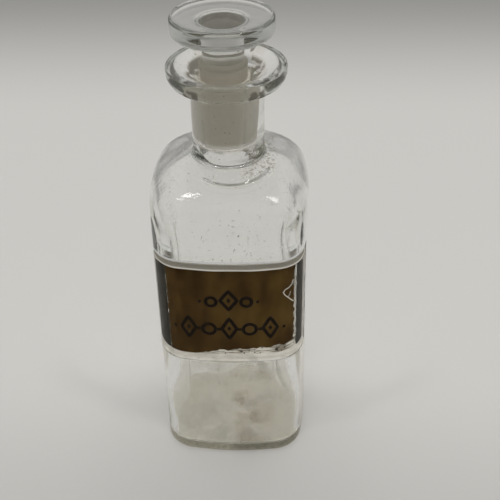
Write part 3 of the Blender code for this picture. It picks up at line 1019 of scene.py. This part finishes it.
class DryResidue(bpy.types.Operator):
    """Dries a thin closed film of residue just off the cavity's walls and floor."""

    bl_idname = "pharmacy.dry_residue"
    bl_label = "Dry the residue"

    def execute(self, context):
        body, plan = settings().body, body_plan()
        angle, along, recess = body_grid(plan, body, settings().panel)
        lift, thick = FILM_LIFT, FILM_THICKNESS
        outer = cavity_walls(angle, along, plan, body, recess, body.film_top, lift)
        inner = cavity_walls(angle, along, plan, body, recess, body.film_top, lift + thick)
        grid = np.concatenate([outer[::-1], inner])
        floor = body.push_up_height + body.floor
        first, last = (0.0, 0.0, floor + lift), (0.0, 0.0, floor + lift + thick)
        film = loft("dried_residue", first, grid, last, residue_finish())
        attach(film, "bottle_body")
        return {"FINISHED"}


class GrindStopper(bpy.types.Operator):
    """Turns the stopper: a flat disc head, a short shank and a tapered plug ground to its bore."""

    bl_idname = "pharmacy.grind_stopper"
    bl_label = "Grind the stopper"

    def execute(self, context):
        stopper = settings().stopper
        columns = stopper.columns
        angle = np.linspace(0, 2 * math.pi, columns, endpoint=False)
        radius, height = self.profile(stopper)
        shift = (stopper_low.x + stopper_high.x) / 2
        wave = 0.00005 * (ripple(angle, height, 31, (0.01, 0.04)) - 1)
        calm = fade((height - stopper.plug_top) / 0.004) * fade((radius - 0.004) / 0.003)
        grid = rings(angle, radius + wave * calm, height, shift)
        first, last = (shift, 0.0, stopper_low.z), (shift, 0.0, stopper_high.z)
        piece = loft("ground_stopper", first, grid, last, stopper_finish())
        z = height[:, 0]
        ground = fade((stopper.plug_top + stopper.plug_shoulder + 0.0002 - z) / GROUND_EDGE)
        add_attribute(piece, "ground", np.append(np.repeat(ground, columns), [1, 0]))
        piece.visible_shadow = False
        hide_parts("stopper")
        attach(piece, "stopper_body")
        return {"FINISHED"}

    def profile(self, stopper):
        """Radii and heights from the plug's foot up to the head's top: a chamfer, the taper, the
        cone to the shank, a fillet, and the head's two rounded edges as quarter circles."""
        head_radius = (stopper_high.x - stopper_low.x) / 2
        head_top, foot = stopper_high.z, stopper_low.z
        head_bottom = head_top - stopper.head_thickness
        flat = np.linspace(0.1, 1, 6) * (plug_radius(foot, stopper) - stopper.plug_edge)
        parts = [(flat, np.full(6, foot))]
        height = np.linspace(foot + stopper.plug_edge, stopper.plug_top, 24)
        parts.append((plug_radius(height, stopper), height))
        cone = np.linspace(0, 1, 7)[1:]
        inwards = (stopper.plug_radius - stopper.shank_radius) * fade(cone)
        height = stopper.plug_top + stopper.plug_shoulder * cone
        parts.append((stopper.plug_radius - inwards, height))
        fillet_foot = head_bottom - stopper.shank_fillet
        height = np.linspace(stopper.plug_top + stopper.plug_shoulder, fillet_foot, 10)[1:-1]
        parts.append((np.full(8, stopper.shank_radius), height))
        turns = np.linspace(0, RIGHT_ANGLE, 10)
        radius = stopper.shank_radius + stopper.shank_fillet * (1 - np.cos(turns))
        parts.append((radius, fillet_foot + stopper.shank_fillet * np.sin(turns)))
        middle = np.linspace(radius[-1], head_radius - stopper.bottom_round, 8)[1:-1]
        parts.append((middle, np.full(6, head_bottom)))
        radius = head_radius - stopper.bottom_round * (1 - np.sin(turns))
        parts.append((radius, head_bottom + stopper.bottom_round * (1 - np.cos(turns))))
        radius = head_radius - stopper.top_round * (1 - np.cos(turns))
        parts.append((radius, head_top - stopper.top_round * (1 - np.sin(turns))))
        radius = np.linspace(head_radius - stopper.top_round, 0.0005, 14)[1:]
        parts.append((radius, np.full(13, head_top)))
        radius, height = (np.concatenate(values) for values in zip(*parts))
        return column(radius), column(height)


# ---------------------------------------------------------------- the label panel


def edge_line(points, at):
    """Straight lines between a border's points."""
    where, value = zip(*points)
    return np.interp(at, where, value)


def ragged(at, seed, depth, lengths):
    """Torn edge: a sum of sines of random wavelengths between two lengths, each as deep as its
    wavelength allows, scaled to the depth."""
    draw = np.random.default_rng(seed)
    total = np.zeros(np.shape(at))
    for wavelength in np.geomspace(*lengths, 9):
        total = total + wavelength * np.sin(2 * math.pi * at / wavelength + draw.uniform(0, 6.3))
    return depth * total / (2 * lengths[1])


# Points of the label's torn edges in millimetres: along the wall and up for the lower edge, up and
# along the wall for the right one.
TORN_BOTTOM = [
    (-26.5, 56.3), (-24.6, 55.1), (-22.1, 54.6), (-17.6, 55.1), (-11.7, 56.7), (-6.0, 58.3),
    (-0.3, 59.0), (8.2, 59.4), (14.1, 59.7), (20.3, 60.3), (25.0, 60.2), (29.0, 60.8),
]
TORN_RIGHT = [(55.0, 28.2), (70.0, 28.3), (82.0, 28.2), (90.0, 27.6), (99.0, 29.0)]
LEFT_MARGIN, RIGHT_STAIN_AND_SHADE = 0.0006, 0.0306  # gap beside the left strip of stain and painted shade, start of the right one
GLUE_RISE, GLUE_LEAST, GLUE_TOP = 0.0012, 0.0006, 0.0625
GLUE_BEHIND, GLUE_THICKNESS = 0.00005, 0.0002


class LayCover(bpy.types.Operator):
    """Lays the bent cover glass flush in its recess."""

    bl_idname = "pharmacy.lay_cover"
    bl_label = "Lay the cover glass"

    def execute(self, context):
        panel = settings().panel
        plan = body_plan()
        length = np.linspace(-0.5, 0.5, 96) * panel.cover_width
        height = column(np.linspace(cover_low.z, cover_high.z, 40))
        angle = length / 0.02
        dent = 0.00005 * (1 - ripple(angle, height, 41, (0.02, 0.05))) / 2
        depths = (dent, panel.cover_thickness)
        cover = wall_sheet("bent_cover_glass", plan, length, height, *depths, cover_finish())
        bevel = cover.modifiers.new("worn edge", "BEVEL")
        bevel.width = panel.cover_bevel
        bevel.segments = 3
        bevel.limit_method = "ANGLE"
        bevel.angle_limit = SHARP_ANGLE
        cover.visible_shadow = False
        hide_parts("label_glass")
        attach(cover, "bottle_body")
        return {"FINISHED"}


def label_depths(panel):
    """Depths of the label's front and back below the body's surface."""
    front = panel.cover_thickness - panel.bond
    return front, front + panel.label_thickness


class PaintLabel(bpy.types.Operator):
    """Paints the label on its foil, torn along the bottom and the right."""

    bl_idname = "pharmacy.paint_label"
    bl_label = "Paint the label"

    def execute(self, context):
        panel, plan = settings().panel, body_plan()
        upward = column(np.linspace(0, 1, 70))
        height = label_low.z + (label_high.z - label_low.z) * upward
        right = edge_line(TORN_RIGHT, height / MM) * MM + ragged(height, 5, 0.0006, (0.0006, 0.006))
        left = panel.label_left + ragged(height, 6, 0.0002, (0.0006, 0.006))
        length = left + (right - left) * np.linspace(0, 1, 220)
        low = edge_line(TORN_BOTTOM, length / MM) * MM + ragged(length, 7, 0.0005, (0.0005, 0.008))
        low = np.maximum(low, label_low.z)
        height = low + (label_high.z - low) * upward
        depths = label_depths(panel)
        label = wall_sheet("painted_label", plan, length, height, *depths, paint_finish())
        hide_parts("label")
        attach(label, "bottle_body")
        return {"FINISHED"}


class StainAndShadeSides(bpy.types.Operator):
    """Stains a strip at each end of the panel, ragged on the side towards the label; its dark olive
    is also painted shade where the corners' thick glass lies over it.
    """

    bl_idname = "pharmacy.stain_sides"
    bl_label = "Stain the sides"

    def execute(self, context):
        panel, plan = settings().panel, body_plan()
        depths = label_depths(panel)
        end = panel.cover_width / 2 - panel.gap
        upward = column(np.linspace(0, 1, 60))
        height = label_low.z + (label_high.z - label_low.z) * upward
        across = np.linspace(0, 1, 14)
        spans = (
            ("left", -end, panel.label_left - LEFT_MARGIN, across),
            ("right", RIGHT_STAIN_AND_SHADE, end, across[::-1]),
        )
        for seed, (side, start, stop, share_of_tear) in enumerate(spans):
            tear = ragged(height, 50 + seed, 0.0003, (0.0008, 0.008)) * share_of_tear
            length = start + (stop - start) * across + tear
            name = "side_stain_and_shade_" + side
            strip = wall_sheet(name, plan, length, height, *depths, olive_finish())
            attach(strip, "bottle_body")
        return {"FINISHED"}


class SpreadGlue(bpy.types.Operator):
    """Spreads the dried glue that shows below the label's torn edge."""

    bl_idname = "pharmacy.spread_glue"
    bl_label = "Spread the glue"

    def execute(self, context):
        panel, plan = settings().panel, body_plan()
        end = panel.cover_width / 2 - 2 * panel.gap
        length = np.linspace(-end, end, 160)
        low = label_low.z + 0.0001
        high = np.minimum(edge_line(TORN_BOTTOM, length / MM) * MM + GLUE_RISE, GLUE_TOP)
        height = low + (np.maximum(high, low + GLUE_LEAST) - low) * column(np.linspace(0, 1, 12))
        front = label_depths(panel)[1] + GLUE_BEHIND
        depths = (front, front + GLUE_THICKNESS)
        ground = wall_sheet("bare_ground", plan, length, height, *depths, glue_finish())
        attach(ground, "bottle_body")
        return {"FINISHED"}


def carried_band(plan, path_length, path_height, width, front_inset, back_inset, closed):
    """Flat band carried along a path on the wall: at each point, half the width to either side of
    the path's normal, at two depths. Returns its points and faces."""
    if closed:
        step_length = np.roll(path_length, -1) - np.roll(path_length, 1)
        step_height = np.roll(path_height, -1) - np.roll(path_height, 1)
    else:
        step_length, step_height = np.gradient(path_length), np.gradient(path_height)
    size_of_step = np.hypot(step_length, step_height)
    normal_length, normal_height = -step_height / size_of_step, step_length / size_of_step
    sides = []
    for side, inset in ((1, front_inset), (-1, front_inset), (-1, back_inset), (1, back_inset)):
        offset = side * width / 2
        length = path_length + normal_length * offset
        sides.append(on_wall(plan, length, path_height + normal_height * offset, inset))
    grid = np.stack(sides, axis=1)
    count = len(grid)
    if closed:
        grid = np.concatenate([grid, grid[:1]])
    faces = grid_faces(len(grid), 4, True)
    if closed:
        return grid[:-1], list(faces % (4 * count))
    ends = [np.array([0, 3, 2, 1]), np.array([0, 1, 2, 3]) + 4 * (count - 1)]
    return grid, [*faces, *ends]


def flat_shape(plan, outline_length, outline_height, front_inset, back_inset):
    """Solid patch: an outline on the wall at two depths, with a fan to its middle on each."""
    ring = [
        on_wall(plan, outline_length, outline_height, inset) for inset in (front_inset, back_inset)
    ]
    middle = [
        on_wall(plan, np.mean(outline_length), np.mean(outline_height), inset)
        for inset in (front_inset, back_inset)
    ]
    count = len(outline_length)
    points = np.concatenate([*ring, middle[0][None], middle[1][None]])
    left = np.arange(count)
    right = (left + 1) % count
    rim = np.stack([right, left, left + count, right + count], -1)
    front = np.stack([left, right, np.full(count, 2 * count)], -1)
    back = np.stack([right + count, left + count, np.full(count, 2 * count + 1)], -1)
    return points, [*rim, *front, *back]


def joined(parts):
    """Points and faces of several closed bodies as one set."""
    points, faces, count = [], [], 0
    for part_points, part_faces in parts:
        part_points = np.reshape(part_points, (-1, 3))
        points.append(part_points)
        faces += [face + count for face in part_faces]
        count += len(part_points)
    return np.concatenate(points), faces


def diamond(length, height, half_width, half_height, steps=6):
    """Outline of a lozenge: straight lines between its corners, anticlockwise from the right."""
    corners_length = length + half_width * np.array([1, 0, -1, 0, 1])
    corners_height = height + half_height * np.array([0, 1, 0, -1, 0])
    at = np.arange(4 * steps) / steps
    where = np.arange(5)
    return np.interp(at, where, corners_length), np.interp(at, where, corners_height)


def circle(length, height, radius, steps=24):
    """Outline of a ring: the radius times the cosine and the sine of even turns."""
    turns = np.linspace(0, 2 * math.pi, steps, endpoint=False)
    return length + radius * np.cos(turns), height + radius * np.sin(turns)


# The ornament in millimetres: places along the wall and up, and half sizes or radii.
LOZENGES = [(0.0, 84.2, 3.4, 4.6), *((step, 70.0, 3.0, 5.2) for step in (-16.5, 0.0, 16.5))]
RINGS = [(-7.0, 83.4, 2.1), (7.0, 83.4, 2.1), (-8.2, 69.6, 2.6), (8.2, 69.6, 2.6)]
DOTS = [(-11.5, 83.4, 0.7), (11.5, 83.4, 0.7)]
DOTS += [(step, 69.6, 0.8) for step in (-22.6, -12.4, -4.2, 4.2, 12.4, 22.6)]
LOZENGE_LINE, RING_LINE = 1.45 * MM, 1.4 * MM
INNER_LOZENGE = (0.8 * MM, 1.3 * MM)
CRACKS = (
    (0.42, ((28.0, 80.3), (26.2, 81.9), (24.6, 83.6), (22.9, 85.3), (22.2, 86.7), (23.2, 87.9),
            (24.9, 88.2), (26.6, 89.2), (27.8, 91.8))),
    (0.22, ((24.6, 83.6), (25.6, 84.9), (26.0, 86.5))),
)


def ornament_depths(panel):
    """Depths of the ornament's front, in the cover glass, and of its back, in the label's face."""
    back = panel.cover_thickness - panel.bond / 2
    return back - panel.bond / 2 - panel.ornament_thickness, back


class DrawOrnament(bpy.types.Operator):
    """Paints two plain rows of lozenges, rings and dots on the label."""

    bl_idname = "pharmacy.draw_ornament"
    bl_label = "Draw the ornament"

    def execute(self, context):
        plan = body_plan()
        depths = ornament_depths(settings().panel)
        parts = []
        for length, height, half_width, half_height in LOZENGES:
            outline = diamond(length * MM, height * MM, half_width * MM, half_height * MM)
            parts.append(carried_band(plan, *outline, LOZENGE_LINE, *depths, True))
            inner = diamond(length * MM, height * MM, *INNER_LOZENGE, 2)
            parts.append(flat_shape(plan, *inner, *depths))
        for length, height, radius in RINGS:
            outline = circle(length * MM, height * MM, radius * MM)
            parts.append(carried_band(plan, *outline, RING_LINE, *depths, True))
        for length, height, radius in DOTS:
            outline = circle(length * MM, height * MM, radius * MM, 14)
            parts.append(flat_shape(plan, *outline, *depths))
        ornament = make_piece("label_ornament", *joined(parts), ink_finish())
        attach(ornament, "bottle_body")
        return {"FINISHED"}


class ChipPaint(bpy.types.Operator):
    """Chips hair cracks with bare edges into the paint: a curl near the right end, and a spur."""

    bl_idname = "pharmacy.chip_paint"
    bl_label = "Chip the paint"

    def execute(self, context):
        plan = body_plan()
        depths = ornament_depths(settings().panel)
        parts = []
        for width, line in CRACKS:
            length, height = (np.array(values) for values in zip(*line))
            steps = np.arange(0, len(line) - 1, 0.25)
            whole = np.arange(len(line))
            length, height = np.interp(steps, whole, length), np.interp(steps, whole, height)
            length = length + 0.12 * np.sin(9 * steps) * (steps > 0)
            band = (length * MM, height * MM, width * MM)
            parts.append(carried_band(plan, *band, *depths, False))
        chips = make_piece("label_chips", *joined(parts), chip_finish())
        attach(chips, "bottle_body")
        return {"FINISHED"}


SUNK, FINGER_HOLLOW = 0.0002, 0.00035  # depth of the bead's face, and of its hollow


class FillCement(bpy.types.Operator):
    """Fills the joint round the cover glass with cement, a bead that is hollowed by the finger."""

    bl_idname = "pharmacy.fill_cement"
    bl_label = "Fill the cement"

    def execute(self, context):
        panel, body = settings().panel, settings().body
        plan = body_plan()
        outer_half = panel.recess_width / 2 - panel.gap
        inner_half = panel.cover_width / 2 - panel.bond
        outer = self.border(outer_half, cement_low.z, cement_high.z)
        inner = self.border(inner_half, cover_low.z + panel.bond, cover_high.z - panel.bond)
        front, back = SUNK, body.recess_depth - panel.gap
        across = np.array([0, 0.08, 0.25, 0.5, 0.75, 0.92, 1, 1, 0])
        hollow = FINGER_HOLLOW * np.sin(math.pi * across) ** 2
        depth = np.where(np.arange(9) < 7, front + hollow, back)
        length = inner[0][:, None] * (1 - across) + outer[0][:, None] * across
        height = inner[1][:, None] * (1 - across) + outer[1][:, None] * across
        uneven = 0.0001 * ripple(length / 0.02, height, 61, (0.004, 0.02)) * (depth < back)
        grid = on_wall(plan, length, height, depth + np.maximum(uneven, -0.0001))
        count, sides = grid.shape[:2]
        faces = grid_faces(count + 1, sides, True) % (count * sides)
        middle = (cover_low.z + cover_high.z) / 2
        bead = make_piece("cement_bead", grid, list(faces), cement_finish(middle, cover_high.z))
        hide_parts("label_cement")
        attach(bead, "bottle_body")
        return {"FINISHED"}

    def border(self, half, low, high):
        """Lengths and heights once round a rectangle on the wall, clockwise from its lower left."""
        corners_length = [-half, -half, half, half, -half]
        corners_height = [low, high, high, low, low]
        steps = (24, 90, 24, 90)
        at = np.concatenate([side + np.arange(count) / count for side, count in enumerate(steps)])
        return np.interp(at, range(5), corners_length), np.interp(at, range(5), corners_height)


# ---------------------------------------------------------------- the stage


SCREEN_EDGE = 0.7  # upward share of a direction at which the pale screen starts
LAMP_TARGET = (0, 0, 0.08)
# Name, azimuth and elevation in degrees, distance, sides, power, and whether glass mirrors it.
LAMPS = (
    ("overhead", 180, 78, 1.75, (1.5, 1.2), 9.0, False),
    ("lamp_left", -56, 56, 1.6, (0.15, 0.24), 2.2, True),
    ("lamp_right", 56, 56, 1.6, (0.20, 0.26), 3.0, True),
)


class SetStage(bpy.types.Operator):
    """Lays the floor, hangs a wide lamp overhead and two small ones in front, and places the
    camera."""

    bl_idname = "pharmacy.set_stage"
    bl_label = "Set the stage"

    def execute(self, context):
        scene, studio = context.scene, settings().studio
        half = 3.0
        corners = np.array([(-half, -half), (half, -half), (half, half), (-half, half)])
        points = np.column_stack([corners, np.full(4, -0.0002)])
        floor = make_piece("floor", points, [np.arange(4)], floor_finish())
        for lamp in LAMPS:
            self.hang(*lamp, studio.lamp)
        scene.world = self.room(studio)
        scene.cycles.max_bounces = 24
        scene.cycles.transmission_bounces = 24
        scene.cycles.glossy_bounces = 12
        scene.cycles.transparent_max_bounces = 24
        scene.view_settings.view_transform = "Standard"
        self.camera(scene, studio)
        return {"FINISHED"}

    def hang(self, name, azimuth, elevation, distance, sides, power, mirrored, shade):
        """Hangs a soft lamp that faces its target and isn't seen through glass."""
        light = bpy.data.lights.new(name, "AREA")
        light.shape = "RECTANGLE"
        light.size, light.size_y = sides
        light.energy = power
        light.color = shade
        lamp = bpy.data.objects.new(name, light)
        away = self.direction(math.radians(azimuth), math.radians(elevation))
        lamp.location = Vector(LAMP_TARGET) + distance * away
        lamp.rotation_euler = away.to_track_quat("Z", "Y").to_euler()
        lamp.visible_glossy = mirrored
        lamp.visible_transmission = False
        bpy.context.scene.collection.objects.link(lamp)

    def room(self, studio):
        """Even light, from the dark horizon of the room to the pale screen above."""
        world = bpy.data.worlds.new("room")
        world.use_nodes = True
        nodes = Nodes(world.node_tree)
        upward = nodes.node("SeparateXYZ", sockets={0: nodes.node("TexCoord")}, output=2)
        light = nodes.mixed(nodes.between(upward, 0.0, SCREEN_EDGE), studio.horizon, studio.room)
        nodes.feed(nodes.tree.nodes["Background"].inputs["Color"], light)
        return world

    def direction(self, azimuth, elevation):
        """Unit vector from the bottle: azimuth turns from the front towards +X."""
        flat = math.cos(elevation)
        return Vector((flat * math.sin(azimuth), -flat * math.cos(azimuth), math.sin(elevation)))

    def camera(self, scene, studio):
        """Looks at the target from its azimuth and elevation, and is then turned by its roll."""
        data = bpy.data.cameras.new("camera")
        data.lens = studio.lens
        data.sensor_width = 36
        data.clip_start, data.clip_end = 0.01, 20
        camera = bpy.data.objects.new("camera", data)
        away = self.direction(studio.camera_azimuth, studio.camera_elevation)
        facing = away.to_track_quat("Z", "Y").to_matrix().to_4x4()
        turned = facing @ Matrix.Rotation(studio.camera_roll, 4, "Z")
        place = Matrix.Translation(Vector(studio.camera_target) + studio.camera_distance * away)
        camera.matrix_world = place @ turned
        scene.collection.objects.link(camera)
        scene.camera = camera


OPERATORS = (
    BlowBottle,
    DryResidue,
    GrindStopper,
    LayCover,
    PaintLabel,
    StainAndShadeSides,
    SpreadGlue,
    DrawOrnament,
    ChipPaint,
    FillCement,
    SetStage,
)


class BottlePanel(bpy.types.Panel):
    """Lists the bottle's pieces in the sidebar."""

    bl_idname = "VIEW3D_PT_pharmacy_bottle"
    bl_label = "Pharmacy Bottle"
    bl_space_type = "VIEW_3D"
    bl_region_type = "UI"
    bl_category = "Bottle"

    def draw(self, context):
        for operator in OPERATORS:
            self.layout.operator(operator.bl_idname)
        for name, group in GROUPS.items():
            box = self.layout.box()
            box.label(text=group.__doc__)
            for key in group.__annotations__:
                box.prop(getattr(settings(), name), key)


CLASSES = (*GROUPS.values(), PharmacyBottle, *OPERATORS, BottlePanel)


def register():
    for made in CLASSES:
        bpy.utils.register_class(made)
    bpy.types.Scene.pharmacy_bottle = PointerProperty(type=PharmacyBottle)


def unregister():
    del bpy.types.Scene.pharmacy_bottle
    for made in reversed(CLASSES):
        bpy.utils.unregister_class(made)


def main():
    register()
    bpy.ops.pharmacy.blow_bottle()
    bpy.ops.pharmacy.dry_residue()
    bpy.ops.pharmacy.grind_stopper()
    bpy.ops.pharmacy.lay_cover()
    bpy.ops.pharmacy.paint_label()
    bpy.ops.pharmacy.stain_sides()
    bpy.ops.pharmacy.spread_glue()
    bpy.ops.pharmacy.draw_ornament()
    bpy.ops.pharmacy.chip_paint()
    bpy.ops.pharmacy.fill_cement()
    bpy.ops.pharmacy.set_stage()


if __name__ == "__main__":
    main()
